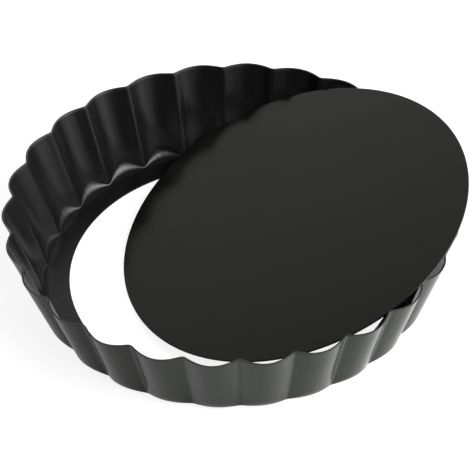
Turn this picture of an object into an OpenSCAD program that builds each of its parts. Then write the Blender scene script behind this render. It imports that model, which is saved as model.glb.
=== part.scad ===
// Fluted tartlet pan of coated sheet steel with a loose base.
// The ring stands on its flange. The base has been lifted out of its seat and leans in the ring:
// its low edge stands on the worktop inside the flange's hole, and its far side lies over the rim.
// The origin is the centre of the ring's foot, on the plane that the pan stands on. +Z is up.

/* [Ring] */
// Diameter over the flutes at the rim
rim_d = 120; // [110:1:140]
// Diameter over the flutes where the wall's outside meets the foot plane
foot_d = 104; // [97:0.5:106]
// Height from the foot to the cut edge of the rim, at a groove
height = 24.2; // [18:0.1:32]
// Thickness of the ring's sheet
ring_sheet = 0.45; // [0.4:0.05:1]
// Width of the flange from the hole to the wall, at a groove
flange_w = 6.45; // [5:0.05:10]

/* [Flutes] */
// Number of flutes round the wall
flutes = 26; // [20:1:32]
// Depth of a flute at the rim
rim_flute = 2.15; // [1:0.05:3]
// How much lower the cut edge of the rim is in the middle of a flute
rim_dip = 0.4; // [0:0.05:1]
// Depth of a flute at the foot
foot_flute = 1.85; // [0.6:0.05:2.5]
// Fullness of a flute's arch: less is fuller
arch_power = 0.87; // [0.7:0.01:1.3]
// Softness of the groove between two flutes
groove_soft = 0.125; // [0.05:0.005:0.3]
// Inside radius of the bend to the flange in the middle of a flute
flute_bend = 5.4; // [1.5:0.1:6]
// Inside radius of the bend to the flange at a groove
groove_bend = 0.9; // [0.6:0.1:1.5]

/* [Loose base] */
// Thickness of the base's sheet
base_sheet = 0.45; // [0.4:0.05:1]
// Play between the base's edge and the wall when the base is in its seat
base_play = 1.5; // [0.8:0.05:2]
// How far the leaned base reaches past the line where it crosses the rim
base_reach = 22.7; // [18:0.1:28]
// Direction towards which the leaned base rises, from the +X groove
base_heading = 0.5; // [-6:0.5:8]
// Gap left between the leaned base and the rim that it rests on
rest_gap = 0.1; // [0.05:0.05:0.5]

/* [Hidden] */

rim_r = rim_d / 2;
foot_r = foot_d / 2;
groove_foot_r = foot_r - foot_flute;
groove_rim_r = rim_r - rim_flute;
hole_r = groove_foot_r - flange_w;
// The flange's blank reaches this far inside the hole before the hole is cut
blank_margin = 2;
blank_r = hole_r - blank_margin;

// Facets: sections round each flute, bunched towards the grooves, and steps round the bend
sections_per_flute = 12;
bunching = 0.6;
bend_steps = 5;
round_facets = 180;

// Arch of one flute: 0 at a groove, 1 in the middle of the flute, for t from 0 to 1
function arch_raw(t) = pow(pow(sin(180 * t), 2) + groove_soft * groove_soft, arch_power / 2);
function arch(t) = (arch_raw(t) - arch_raw(0)) / (arch_raw(0.5) - arch_raw(0));
// Share of the flute's width at section u, closer together near the grooves
function bunched(u) = u - bunching * sin(360 * u) / (2 * PI);

// Points of the sheet's section in radius and height, from the flange's lower face round the outside
// of the bend, up the wall, over the cut edge and back down the inside
function outside_bend(a) = groove_bend + (flute_bend - groove_bend) * a + ring_sheet;
function rim_z(a) = height - rim_dip * a;
function lean_out(a) = atan2(groove_rim_r + rim_flute * a - groove_foot_r - foot_flute * a, rim_z(a));
function bend_centre_r(a) = groove_foot_r + foot_flute * a - outside_bend(a) * tan((90 - lean_out(a)) / 2);
function bend_points(a, radius) = [
    for (i = [0 : bend_steps])
        let (turn = i / bend_steps * (90 - lean_out(a)))
            [bend_centre_r(a) + radius * sin(turn), outside_bend(a) - radius * cos(turn)]
];
function reversed(list) = [for (i = [len(list) - 1 : -1 : 0]) list[i]];
function sheet_section(a) = concat(
    [[blank_r, 0]],
    bend_points(a, outside_bend(a)),
    [[groove_rim_r + rim_flute * a, rim_z(a)]],
    [[groove_rim_r + rim_flute * a - ring_sheet / cos(lean_out(a)), rim_z(a)]],
    reversed(bend_points(a, outside_bend(a) - ring_sheet)),
    [[blank_r, ring_sheet]]
);

// The wall, bend and flange in one closed skin: the section swept round the flutes
module fluted_sheet() {
    sections = flutes * sections_per_flute;
    rings = [
        for (k = [0 : sections - 1])
            let (t = bunched((k % sections_per_flute) / sections_per_flute))
            let (azimuth = (floor(k / sections_per_flute) + t) * 360 / flutes)
                [for (p = sheet_section(arch(t))) [p[0] * cos(azimuth), p[0] * sin(azimuth), p[1]]]
    ];
    m = len(rings[0]);
    skin = [
        for (k = [0 : sections - 1], j = [0 : m - 1])
            let (k2 = (k + 1) % sections, j2 = (j + 1) % m)
                each [
                    [k * m + j, k * m + j2, k2 * m + j2],
                    [k * m + j, k2 * m + j2, k2 * m + j]
                ]
    ];
    polyhedron(points = [for (ring = rings) each ring], faces = skin, convexity = 10);
}

// The outer ring: the fluted sheet with the round hole cut through its flange
module fluted_ring() {
    color([0.16, 0.16, 0.16])
        difference() {
            fluted_sheet();
            translate([0, 0, -1])
                cylinder(r = hole_r, h = ring_sheet + 2, $fn = round_facets);
        }
}

// Size of the loose base, from the seat that it drops into
base_r = groove_foot_r - ring_sheet - base_play;
// The tilt at which the base's low edge is on the worktop and its underside crosses the plane of the
// rim's highest points where base_reach says
base_tilt = asin((height - base_sheet / 2) / (2 * base_r - base_reach));
base_centre_z = base_r * sin(base_tilt) + base_sheet / 2 * cos(base_tilt);
// From the base's centre up its slope to where its underside crosses that plane
cross_slope = (height - base_centre_z + base_sheet / 2 * cos(base_tilt)) / sin(base_tilt);
cross_half_chord = sqrt(base_r * base_r - cross_slope * cross_slope);
// The rim is crossed at this angle on each side of the heading
cross_angle = asin(cross_half_chord / (groove_rim_r - ring_sheet));
function arch_at(azimuth) = arch(azimuth * flutes / 360);
// Radius of the rim's inside edge where the base's edge comes to rest on the side of a flute
rest_arch = min(arch_at(base_heading + cross_angle), arch_at(base_heading - cross_angle)) / 2;
rest_r = groove_rim_r + rim_flute * rest_arch - ring_sheet - rest_gap;
base_shift = sqrt(rest_r * rest_r - cross_half_chord * cross_half_chord)
    - cross_slope * cos(base_tilt) - base_sheet / 2 * sin(base_tilt);

// The loose base: a flat round sheet, leaned in the ring
module loose_base() {
    color([0.19, 0.19, 0.19])
        rotate([0, 0, base_heading])
            translate([base_shift, 0, base_centre_z])
                rotate([0, -base_tilt, 0])
                    cylinder(r = base_r, h = base_sheet, center = true, $fn = round_facets);
}

fluted_ring();
loose_base();
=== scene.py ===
"""Fluted tartlet pan with its loose base leaned in the ring, in satin black coated sheet steel."""

import math
import random

import bpy
from mathutils import Matrix, Vector, noise


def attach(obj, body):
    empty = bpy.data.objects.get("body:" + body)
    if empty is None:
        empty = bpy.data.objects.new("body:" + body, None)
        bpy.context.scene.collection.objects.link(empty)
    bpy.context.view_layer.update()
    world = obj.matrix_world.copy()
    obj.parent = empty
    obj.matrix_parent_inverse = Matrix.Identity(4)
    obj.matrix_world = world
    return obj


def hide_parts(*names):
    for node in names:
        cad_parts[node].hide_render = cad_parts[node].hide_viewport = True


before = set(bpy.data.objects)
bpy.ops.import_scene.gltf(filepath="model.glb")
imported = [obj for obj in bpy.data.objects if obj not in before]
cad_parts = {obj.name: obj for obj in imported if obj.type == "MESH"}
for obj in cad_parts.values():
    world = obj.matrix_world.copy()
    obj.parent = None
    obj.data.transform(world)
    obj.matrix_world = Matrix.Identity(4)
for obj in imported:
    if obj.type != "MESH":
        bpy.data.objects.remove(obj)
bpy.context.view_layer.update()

MM = 0.001
UP = Vector((0, 0, 1))

# Sizes of the ring, in metres, as the part's source has them
RIM_R = 60 * MM
FOOT_R = 52 * MM
HEIGHT = 24.2 * MM
SHEET = 0.45 * MM
FLANGE_W = 6.45 * MM
FLUTES = 26
RIM_FLUTE = 2.15 * MM
RIM_DIP = 0.4 * MM
FOOT_FLUTE = 1.85 * MM
ARCH_POWER = 0.87
GROOVE_SOFT = 0.125
FLUTE_BEND = 5.4 * MM
GROOVE_BEND = 0.9 * MM
GROOVE_RIM_R = RIM_R - RIM_FLUTE
GROOVE_FOOT_R = FOOT_R - FOOT_FLUTE
HOLE_R = GROOVE_FOOT_R - FLANGE_W

# Sizes and place of the loose base, as the part's source has them
BASE_PLAY = 1.5 * MM
BASE_REACH = 22.7 * MM
BASE_HEADING = math.radians(0.5)
REST_GAP = 0.1 * MM
BASE_R = GROOVE_FOOT_R - SHEET - BASE_PLAY

# Fineness of the ring's mesh: sections round each flute, bunched towards the grooves, steps of the bend,
# and the places of the points on the flange and the wall, as shares of their lengths
SECTIONS_PER_FLUTE = 40
BUNCHING = 0.6
BEND_STEPS = 16
BEND_SUBSTEPS = 4
FLANGE_SHARES = (0.03, 0.1, 0.35, 0.65, 0.9)
WALL_SHARES = (0.05, 0.15, 0.3, 0.45, 0.6, 0.75, 0.88, 0.96)

# Fineness of the base's mesh
BASE_SECTIONS = 360
BASE_RINGS = 36

# The bend's curvature grows and fades again: how strongly, and how much longer the bend is for it
BEND_EASE = 0.8
BEND_REACH = 1.2

# Rounding of the cut edges, and the steps round each corner of the hole's edge and the base's
EDGE_ROUND = 0.07 * MM
HOLE_CORNER_STEPS = 3
BASE_CORNER_STEPS = 4
# Corners of the rim's cut edge, inner and outer, as shares of the rounding: across the sheet, and down
RIM_CORNER_INSIDE = ((0.05, 0.35), (0.4, 0.05), (1, 0))
RIM_CORNER_OUTSIDE = ((1, 0), (0.5, 0.05), (0.2, 0.35))
# One more ring of points lies this many roundings in from the base's edge, and keeps its face flat there
BASE_EDGE_RING = 3

# Unevenness of the pressed flutes: how much less deep than the rest one may be
DEPTH_SPREAD = 0.035
SEED = 7
# Waves in the ring: their height, how many lie in a metre, and how many up the wall for one round it
PRESS_WAVE = 0.05 * MM
PRESS_WAVE_SCALE = 90
PRESS_WAVE_RISE = 0.5
# Waves in the base: their height, how many lie in a metre, and the level at which their noise is cut
BASE_WAVE = 0.03 * MM
BASE_WAVE_SCALE = 28
BASE_WAVE_LEVEL = 0.3

# Patterns of the coating, each the settings of a noise, whose scale is in features to the metre
MOTTLE = {"Scale": 160, "Detail": 5, "Roughness": 0.6}
SMUDGE = {"Scale": 45, "Detail": 4, "Distortion": 0.6}
PEEL = {"Scale": 1800, "Detail": 3}
DRAWN = {"Scale": 1300, "Detail": 4}
# Most of a noise's values lie between these
NOISE_LOW = 0.3
NOISE_HIGH = 0.7
# Heights of the orange peel and the drawing marks, and how strongly the peel shows
PEEL_HEIGHT = 0.05 * MM
PEEL_STRENGTH = 0.12
DRAWN_HEIGHT = 0.1 * MM
# A drawing mark's width as a share of its length
DRAWN_SLIMNESS = 0.05

# The floor, and how brightly it shines to the camera and in reflections: inside the ring, how much more
# outside it, and how much more on the lit side. In reflections the dim floor inside the ring is painted
# shade, and the brighter floor on the lit side is a painted pool of light
FLOOR_SIZE = 8.0
FLOOR_DROP = 0.05 * MM
FLOOR_COLOUR = (0.5, 0.5, 0.5, 1)
FLOOR_ROUGHNESS = 0.9
FLOOR_LIFT_SEEN = 0.87
FLOOR_LIFT_INSIDE = 0.08
FLOOR_LIFT_OUTSIDE = 0.36
FLOOR_LIFT_SIDE = 0.66
# Radii between which the painted shade of the floor inside the ring gives way to the open floor
FLOOR_OPEN_FROM = 45 * MM
FLOOR_OPEN_TO = 56 * MM
# The lit side, between the key and the window: its direction, and where along it the floor brightens with
# painted light
FLOOR_SIDE_AZIMUTH = math.radians(-15)
FLOOR_SIDE_FROM = -45 * MM
FLOOR_SIDE_TO = 80 * MM

# Light in the studio, each as a soft-edged patch: azimuth and elevation of its middle and how far it
# spreads in each, in degrees, and its brightness
KEY = (-29, 38, 22, 13, 7.5)
LOW_WINDOW = (10, 1.5, 38, 7, 10.5)
BACK_WALL = (79, 61, 16, 56, 0.46)
BACK_PANEL = (103, 32, 14, 6.5, 0.78)
LEFT_PANEL = (165, 52, 20, 14, 0.5)

# The camera, in the part's frame
CAMERA_AIM = Vector((1.064, 1.285, 12.0)) * MM
CAMERA_DISTANCE = 683.05 * MM
CAMERA_AZIMUTH = math.radians(-97.799)
CAMERA_ELEVATION = math.radians(42.045)
CAMERA_ROLL = math.radians(-1.958)
CAMERA_FOCAL_MM = 197.46
SENSOR_MM = 36.0
CAMERA_NEAR = 0.01
CAMERA_FAR = 50


# Shape of the sheets

def arch_raw(t):
    """Unscaled arch of one flute, for t from 0 at a groove to 1 at the next."""
    return (math.sin(math.pi * t) ** 2 + GROOVE_SOFT ** 2) ** (ARCH_POWER / 2)


def arch(t):
    """Arch of one flute: 0 at a groove, 1 in the middle of the flute."""
    return (arch_raw(t) - arch_raw(0)) / (arch_raw(0.5) - arch_raw(0))


def corner(centre, radius, start, end, steps):
    """Points of an arc in radius and height, from angle start to angle end."""
    points = []
    for i in range(steps + 1):
        angle = start + (end - start) * i / steps
        points.append((centre[0] + radius * math.cos(angle), centre[1] + radius * math.sin(angle)))
    return points


def between(a, b, shares):
    """Points on the line from a to b at the given shares of its length."""
    return [(a[0] + (b[0] - a[0]) * s, a[1] + (b[1] - a[1]) * s) for s in shares]


def bend_points(corner_r, reach, turn):
    """Points of the bend from the flange up to the wall, whose curvature grows and fades again."""
    fine = BEND_STEPS * BEND_SUBSTEPS
    r = z = 0.0
    path = [(0.0, 0.0)]
    for i in range(fine):
        u = (i + 0.5) / fine
        angle = turn * (u - BEND_EASE * math.sin(2 * math.pi * u) / (2 * math.pi))
        r += math.cos(angle)
        z += math.sin(angle)
        path.append((r, z))
    scale = 2 * reach * math.cos(turn / 2) / math.hypot(r, z)
    return [(corner_r - reach + r * scale, z * scale) for r, z in path[::BEND_SUBSTEPS]]


def outside_profile(a):
    """The lower and outer face where the arch is a, in radius and height from hole to rim, and the
    wall's lean."""
    rim_out = GROOVE_RIM_R + RIM_FLUTE * a
    foot_out = GROOVE_FOOT_R + FOOT_FLUTE * a
    rim_z = HEIGHT - RIM_DIP * a
    lean = math.atan2(rim_out - foot_out, rim_z)
    turn = math.pi / 2 - lean
    radius = GROOVE_BEND + (FLUTE_BEND - GROOVE_BEND) * a + SHEET
    bend = bend_points(foot_out, radius * math.tan(turn / 2) * BEND_REACH, turn)
    start = (HOLE_R + EDGE_ROUND, 0.0)
    wall = between(bend[-1], (rim_out, rim_z), WALL_SHARES + (1.0,))
    return [start] + between(start, bend[0], FLANGE_SHARES) + bend + wall, lean


def outer_sections():
    """The ring's outer face: each section's points, its outward direction and the wall's lean."""
    rng = random.Random(SEED)
    depths = [1 - DEPTH_SPREAD * rng.random() for _ in range(FLUTES)]
    sections = []
    for flute in range(FLUTES):
        for i in range(SECTIONS_PER_FLUTE):
            u = i / SECTIONS_PER_FLUTE
            t = u - BUNCHING * math.sin(2 * math.pi * u) / (2 * math.pi)
            azimuth = (flute + t) * 2 * math.pi / FLUTES
            out = Vector((math.cos(azimuth), math.sin(azimuth), 0))
            profile, lean = outside_profile(arch(t) * depths[flute])
            points = []
            for r, z in profile:
                p = out * r + UP * z
                wall_share = max(0.0, min(1.0, (r - HOLE_R) / (FOOT_R - HOLE_R)))
                # The noise runs from -1 to 1, and the waves only go inwards
                place = Vector((p.x, p.y, p.z * PRESS_WAVE_RISE))
                wave = (noise.noise(place * PRESS_WAVE_SCALE) - 1) / 2
                points.append(p + out * wave * PRESS_WAVE * wall_share)
            sections.append((points, out, lean))
    return sections


def inner_points(sections, k):
    """The inner face at section k, one sheet's thickness inside the outer face and level with its rim."""
    points, out, lean = sections[k]
    before = sections[k - 1][0]
    after = sections[(k + 1) % len(sections)][0]
    last = len(points) - 1
    wall_start = last - len(WALL_SHARES) - 1
    up_wall = out * math.sin(lean) + UP * math.cos(lean)
    inner = []
    for j, p in enumerate(points):
        around = after[j] - before[j]
        along = points[min(j + 1, last)] - points[max(j - 1, 0)]
        inward = along.cross(around).normalized()
        climb = max(0.0, (j - wall_start) / (last - wall_start))
        inner.append(p + inward * SHEET - up_wall * (SHEET * math.tan(lean) * climb))
    return inner


def rim_edge(outer_top, inner_top, up_wall):
    """The cut edge at the rim, from the inner face to the outer one, with rounded corners."""
    e = EDGE_ROUND
    inside = inner_top.copy()
    inside.z = outer_top.z
    across = (inside - outer_top).normalized()
    edge = [inside - up_wall * e]
    edge += [inside - across * (e * a) - UP * (e * d) for a, d in RIM_CORNER_INSIDE]
    edge += [outer_top + across * (e * a) - UP * (e * d) for a, d in RIM_CORNER_OUTSIDE]
    edge.append(outer_top - up_wall * e)
    return edge


def hole_profile():
    """The cut edge of the hole in radius and height, from the flange's lower face to its upper one."""
    e = EDGE_ROUND
    bottom = corner((HOLE_R + e, e), e, -math.pi / 2, -math.pi, HOLE_CORNER_STEPS)
    top = corner((HOLE_R + e, SHEET - e), e, math.pi, math.pi / 2, HOLE_CORNER_STEPS)
    return bottom[1:] + top[:-1]


def smooth_mesh(name, vertices, faces):
    """A smooth-shaded mesh."""
    mesh = bpy.data.meshes.new(name)
    mesh.from_pydata(vertices, [], faces)
    mesh.validate()
    mesh.shade_smooth()
    return mesh


def swept_mesh(name, rings):
    """Closed mesh through rings of points, joined round both ways."""
    count = len(rings)
    m = len(rings[0])
    vertices = [p for ring in rings for p in ring]
    faces = []
    for k in range(count):
        k2 = (k + 1) % count
        for j in range(m):
            j2 = (j + 1) % m
            faces.append((k * m + j, k2 * m + j, k2 * m + j2, k * m + j2))
    return smooth_mesh(name, vertices, faces)


def fluted_ring_mesh():
    """The pressed ring as one closed skin: the hole's edge, the inner face, the rim's edge and the outer
    face. Its materials are, in turn, those of the inside, the outside and the rim's edge."""
    sections = outer_sections()
    hole = hole_profile()
    rings = []
    for k, (outer, out, lean) in enumerate(sections):
        hole_edge = [out * r + UP * z for r, z in hole]
        inner = inner_points(sections, k)
        rim = rim_edge(outer[-1], inner[-1], out * math.sin(lean) + UP * math.cos(lean))
        rings.append(hole_edge + inner[:-1] + rim + outer[-2::-1])
    mesh = swept_mesh("fluted_ring_sheet", rings)
    steps = len(rings[0])
    face_steps = len(sections[0][0])
    rim_start = len(hole) + face_steps - 1
    outside_start = steps - face_steps
    for polygon in mesh.polygons:
        step = polygon.index % steps
        if step >= outside_start:
            polygon.material_index = 1
        elif step >= rim_start:
            polygon.material_index = 2
    return mesh


def base_place():
    """Place of the leaned base: its low edge on the worktop, its underside on the rim."""
    tilt = math.asin((HEIGHT - SHEET / 2) / (2 * BASE_R - BASE_REACH))
    centre_z = BASE_R * math.sin(tilt) + SHEET / 2 * math.cos(tilt)
    # From the base's centre up its slope to where its underside crosses the plane of the rim
    cross = (HEIGHT - centre_z + SHEET / 2 * math.cos(tilt)) / math.sin(tilt)
    half_chord = math.sqrt(BASE_R ** 2 - cross ** 2)
    cross_angle = math.asin(half_chord / (GROOVE_RIM_R - SHEET))
    sides = (BASE_HEADING + cross_angle, BASE_HEADING - cross_angle)
    rest_arch = min(arch(side * FLUTES / (2 * math.pi)) for side in sides) / 2
    rest_r = GROOVE_RIM_R + RIM_FLUTE * rest_arch - SHEET - REST_GAP
    shift = math.sqrt(rest_r ** 2 - half_chord ** 2) - cross * math.cos(tilt) - SHEET / 2 * math.sin(tilt)
    return (
        Matrix.Rotation(BASE_HEADING, 4, "Z")
        @ Matrix.Translation((shift, 0, centre_z))
        @ Matrix.Rotation(-tilt, 4, "Y")
    )


def base_wave(x, y):
    """How far the base's sheet dips at a place on it."""
    return abs(noise.noise(Vector((x, y, BASE_WAVE_LEVEL)) * BASE_WAVE_SCALE) * BASE_WAVE)


def loose_base_mesh():
    """The flat round base, with rounded cut edges."""
    half = SHEET / 2
    e = EDGE_ROUND
    place = base_place()
    radii = [(BASE_R - e) * math.sqrt(i / BASE_RINGS) for i in range(1, BASE_RINGS + 1)]
    radii.insert(-1, BASE_R - BASE_EDGE_RING * e)
    section = [(r, half) for r in radii]
    section += corner((BASE_R - e, half - e), e, math.pi / 2, 0, BASE_CORNER_STEPS)[1:]
    section += corner((BASE_R - e, -half + e), e, 0, -math.pi / 2, BASE_CORNER_STEPS)[:-1]
    section += [(r, -half) for r in reversed(radii)]
    m = len(section)
    vertices = []
    for k in range(BASE_SECTIONS):
        azimuth = 2 * math.pi * k / BASE_SECTIONS
        for r, h in section:
            x = r * math.cos(azimuth)
            y = r * math.sin(azimuth)
            vertices.append(place @ Vector((x, y, h - base_wave(x, y))))
    top_centre = len(vertices)
    vertices.append(place @ Vector((0, 0, half - base_wave(0, 0))))
    vertices.append(place @ Vector((0, 0, -half - base_wave(0, 0))))
    faces = []
    for k in range(BASE_SECTIONS):
        k2 = (k + 1) % BASE_SECTIONS
        faces.append((top_centre, k * m, k2 * m))
        faces.append((top_centre + 1, k2 * m + m - 1, k * m + m - 1))
        for j in range(m - 1):
            faces.append((k * m + j, k * m + j + 1, k2 * m + j + 1, k2 * m + j))
    return smooth_mesh("loose_base_sheet", vertices, faces)


def add_piece(name, mesh, materials, node):
    """Places a mesh as a piece that stands for a CAD node."""
    piece = bpy.data.objects.new(name, mesh)
    bpy.context.scene.collection.objects.link(piece)
    for material in materials:
        mesh.materials.append(material)
    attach(piece, "root")
    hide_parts(node)


# Nodes of a material or world

def set_inputs(tree, node, inputs):
    """Gives each input of a node its value, or links it to another node's output."""
    for socket, value in inputs.items():
        if isinstance(value, bpy.types.NodeSocket):
            tree.links.new(value, node.inputs[socket])
        else:
            node.inputs[socket].default_value = value


def add_node(tree, kind, inputs=None, operation=None):
    """A new node, whose inputs are given by their names or their numbers."""
    node = tree.nodes.new(kind)
    if operation:
        node.operation = operation
    set_inputs(tree, node, inputs or {})
    return node


def calc(tree, operation, *values):
    """Result of a calculation with numbers and the outputs of other nodes."""
    return add_node(tree, "ShaderNodeMath", dict(enumerate(values)), operation).outputs["Value"]


def pattern(tree, place, settings):
    """Value of a noise at a place."""
    return add_node(tree, "ShaderNodeTexNoise", {"Vector": place, **settings}).outputs["Fac"]


# Materials

def coating(name, colours, roughness, ior, streaks=0.0, tint=(1, 1, 1)):
    """Satin black non-stick coating: a faint mottle between two colours, a gloss between two roughnesses,
    a fine orange peel, and the marks that drawing the sheet left."""
    material = bpy.data.materials.new(name)
    material.use_nodes = True
    tree = material.node_tree
    place = add_node(tree, "ShaderNodeTexCoord").outputs["Object"]

    colour = add_node(tree, "ShaderNodeValToRGB", {"Fac": pattern(tree, place, MOTTLE)})
    for stop, position, value in zip(colour.color_ramp.elements, (NOISE_LOW, NOISE_HIGH), colours):
        stop.position = position
        stop.color = (*value, 1)
    gloss = add_node(tree, "ShaderNodeMapRange", {
        "Value": pattern(tree, place, SMUDGE),
        "From Min": NOISE_LOW,
        "From Max": NOISE_HIGH,
        "To Min": roughness[0],
        "To Max": roughness[1],
    })
    peeled = add_node(tree, "ShaderNodeBump", {
        "Strength": PEEL_STRENGTH,
        "Distance": PEEL_HEIGHT,
        "Height": pattern(tree, place, PEEL),
    })

    # The drawing marks run up the wall: their noise is fine round the ring and long in height
    flat = add_node(tree, "ShaderNodeVectorMath", {0: place, 1: (1, 1, 0)}, "MULTIPLY")
    around = add_node(tree, "ShaderNodeVectorMath", {0: flat.outputs["Vector"]}, "NORMALIZE")
    height = add_node(tree, "ShaderNodeVectorMath", {0: place, 1: (0, 0, DRAWN_SLIMNESS)}, "MULTIPLY")
    unrolled = add_node(tree, "ShaderNodeVectorMath", {
        0: around.outputs["Vector"],
        1: (FOOT_R, FOOT_R, FOOT_R),
        2: height.outputs["Vector"],
    }, "MULTIPLY_ADD")
    drawn = add_node(tree, "ShaderNodeBump", {
        "Strength": streaks,
        "Distance": DRAWN_HEIGHT,
        "Height": pattern(tree, unrolled.outputs["Vector"], DRAWN),
        "Normal": peeled.outputs["Normal"],
    })

    set_inputs(tree, tree.nodes["Principled BSDF"], {
        "Base Color": colour.outputs["Color"],
        "Roughness": gloss.outputs["Result"],
        "Normal": drawn.outputs["Normal"],
        "IOR": ior,
        "Specular Tint": (*tint, 1),
    })
    return material


def ring_inside_coating():
    """The coating of the ring's inner face and flange."""
    return coating(
        "ring_coating",
        colours=((0.0082, 0.0082, 0.0082), (0.0102, 0.0102, 0.0102)),
        roughness=(0.18, 0.23),
        ior=1.5,
        streaks=0.8,
    )


def ring_outside_coating():
    """The coating of the ring's outer face, glossier and faintly green."""
    return coating(
        "ring_outside",
        colours=((0.0046, 0.0060, 0.0045), (0.0092, 0.0112, 0.0090)),
        roughness=(0.12, 0.16),
        ior=1.3,
        streaks=0.8,
        tint=(0.86, 1, 0.85),
    )


def ring_edge_coating():
    """The paler coating of the rim's cut edge: partly the worn cut edge's own paler colour, and partly a
    painted highlight along the rim.
    """
    return coating(
        "ring_edge",
        # Paler than the rest of the ring: partly a worn cut edge, partly a painted highlight
        colours=((0.02, 0.021, 0.019), (0.05, 0.052, 0.048)),
        roughness=(0.2, 0.3),
        ior=1.5,
    )


def base_coating():
    """The coating of the loose base, faintly warm, with no drawing marks."""
    return coating(
        "base_coating",
        colours=((0.0068, 0.0068, 0.006), (0.0090, 0.0090, 0.0080)),
        roughness=(0.14, 0.18),
        ior=1.5,
        tint=(1, 1, 0.975),
    )


# Floor, light and camera

def floor_material():
    """White to the camera, with the object's shadow. In reflections it is dark inside the ring, as painted
    shade, and brighter outside it and on the lit side, as painted light."""
    material = bpy.data.materials.new("floor_white")
    material.use_nodes = True
    tree = material.node_tree
    place = add_node(tree, "ShaderNodeNewGeometry").outputs["Position"]
    # Painted shade: in reflections the floor is darker inside the ring, and this fades out between two
    # radii
    radius = add_node(tree, "ShaderNodeVectorMath", {0: place}, "LENGTH")
    open_floor = add_node(tree, "ShaderNodeMapRange", {
        "Value": radius.outputs["Value"],
        "From Min": FLOOR_OPEN_FROM,
        "From Max": FLOOR_OPEN_TO,
    })
    open_floor.interpolation_type = "SMOOTHSTEP"
    # Painted light: in reflections the floor brightens towards the lit side
    lit_side = (math.cos(FLOOR_SIDE_AZIMUTH), math.sin(FLOOR_SIDE_AZIMUTH), 0)
    toward = add_node(tree, "ShaderNodeVectorMath", {0: place, 1: lit_side}, "DOT_PRODUCT")
    side = add_node(tree, "ShaderNodeMapRange", {
        "Value": toward.outputs["Value"],
        "From Min": FLOOR_SIDE_FROM,
        "From Max": FLOOR_SIDE_TO,
        "To Min": FLOOR_LIFT_INSIDE,
        "To Max": FLOOR_LIFT_INSIDE + FLOOR_LIFT_SIDE,
    })
    side.interpolation_type = "SMOOTHSTEP"

    path = add_node(tree, "ShaderNodeLightPath").outputs
    opened = open_floor.outputs["Result"]
    level = calc(tree, "MULTIPLY_ADD", opened, FLOOR_LIFT_OUTSIDE, side.outputs["Result"])
    in_reflections = calc(tree, "MAXIMUM", path["Is Glossy Ray"], path["Is Transmission Ray"])
    reflected = calc(tree, "MULTIPLY", level, in_reflections)
    set_inputs(tree, tree.nodes["Principled BSDF"], {
        "Base Color": FLOOR_COLOUR,
        "Roughness": FLOOR_ROUGHNESS,
        "Specular IOR Level": 0.0,
        "Emission Color": (1, 1, 1, 1),
        "Emission Strength": calc(tree, "MULTIPLY_ADD", path["Is Camera Ray"], FLOOR_LIFT_SEEN, reflected),
    })
    return material


def white_floor():
    """A white floor just under the part, with painted shade and painted light in its reflections."""
    half = FLOOR_SIZE / 2
    corners = [(-half, -half, 0), (half, -half, 0), (half, half, 0), (-half, half, 0)]
    mesh = bpy.data.meshes.new("floor")
    mesh.from_pydata(corners, [], [(0, 1, 2, 3)])
    mesh.materials.append(floor_material())
    floor = bpy.data.objects.new("floor", mesh)
    floor.location.z = -FLOOR_DROP
    bpy.context.scene.collection.objects.link(floor)


def light_patch(tree, azimuth, elevation, light):
    """Brightness in a direction of one patch of light, which fades out as a bell curve both ways."""
    azimuth_mid, elevation_mid, azimuth_spread, elevation_spread, brightness = light
    turn = calc(tree, "SUBTRACT", azimuth, math.radians(azimuth_mid))
    turn = calc(tree, "WRAP", turn, math.pi, -math.pi)
    rise = calc(tree, "SUBTRACT", elevation, math.radians(elevation_mid))
    squares = []
    for difference, width in ((turn, azimuth_spread), (rise, elevation_spread)):
        share = calc(tree, "DIVIDE", difference, math.radians(width))
        squares.append(calc(tree, "POWER", calc(tree, "ABSOLUTE", share), 2))
    fade = calc(tree, "EXPONENT", calc(tree, "MULTIPLY", calc(tree, "ADD", *squares), -0.5))
    return calc(tree, "MULTIPLY", fade, brightness)


def studio_world():
    """A dark studio with a large soft key, a low window, and a pale wall and two soft panels."""
    world = bpy.data.worlds.new("studio")
    bpy.context.scene.world = world
    world.use_nodes = True
    tree = world.node_tree
    place = add_node(tree, "ShaderNodeTexCoord").outputs["Generated"]
    split = add_node(tree, "ShaderNodeSeparateXYZ", {"Vector": place}).outputs
    elevation = calc(tree, "ARCSINE", split["Z"])
    azimuth = calc(tree, "ARCTAN2", split["Y"], split["X"])
    level = light_patch(tree, azimuth, elevation, KEY)
    for light in (LOW_WINDOW, BACK_WALL, BACK_PANEL, LEFT_PANEL):
        level = calc(tree, "ADD", level, light_patch(tree, azimuth, elevation, light))
    set_inputs(tree, tree.nodes["Background"], {"Color": (1, 1, 1, 1), "Strength": level})


def photograph_camera():
    """The camera at the photograph's angle and distance."""
    data = bpy.data.cameras.new("camera")
    data.lens = CAMERA_FOCAL_MM
    data.sensor_fit = "HORIZONTAL"
    data.sensor_width = SENSOR_MM
    data.clip_start = CAMERA_NEAR
    data.clip_end = CAMERA_FAR
    camera = bpy.data.objects.new("camera", data)
    back = Vector((
        math.cos(CAMERA_AZIMUTH) * math.cos(CAMERA_ELEVATION),
        math.sin(CAMERA_AZIMUTH) * math.cos(CAMERA_ELEVATION),
        math.sin(CAMERA_ELEVATION),
    ))
    aimed = back.to_track_quat("Z", "Y").to_matrix().to_4x4()
    roll = Matrix.Rotation(CAMERA_ROLL, 4, "Z")
    camera.matrix_world = Matrix.Translation(CAMERA_AIM + back * CAMERA_DISTANCE) @ aimed @ roll
    bpy.context.scene.collection.objects.link(camera)
    bpy.context.scene.camera = camera


photograph_camera()
studio_world()
white_floor()
bpy.context.scene.view_settings.view_transform = "Standard"

ring_materials = [ring_inside_coating(), ring_outside_coating(), ring_edge_coating()]
add_piece("fluted_ring_sheet", fluted_ring_mesh(), ring_materials, "fluted_ring")
add_piece("loose_base_sheet", loose_base_mesh(), [base_coating()], "loose_base")
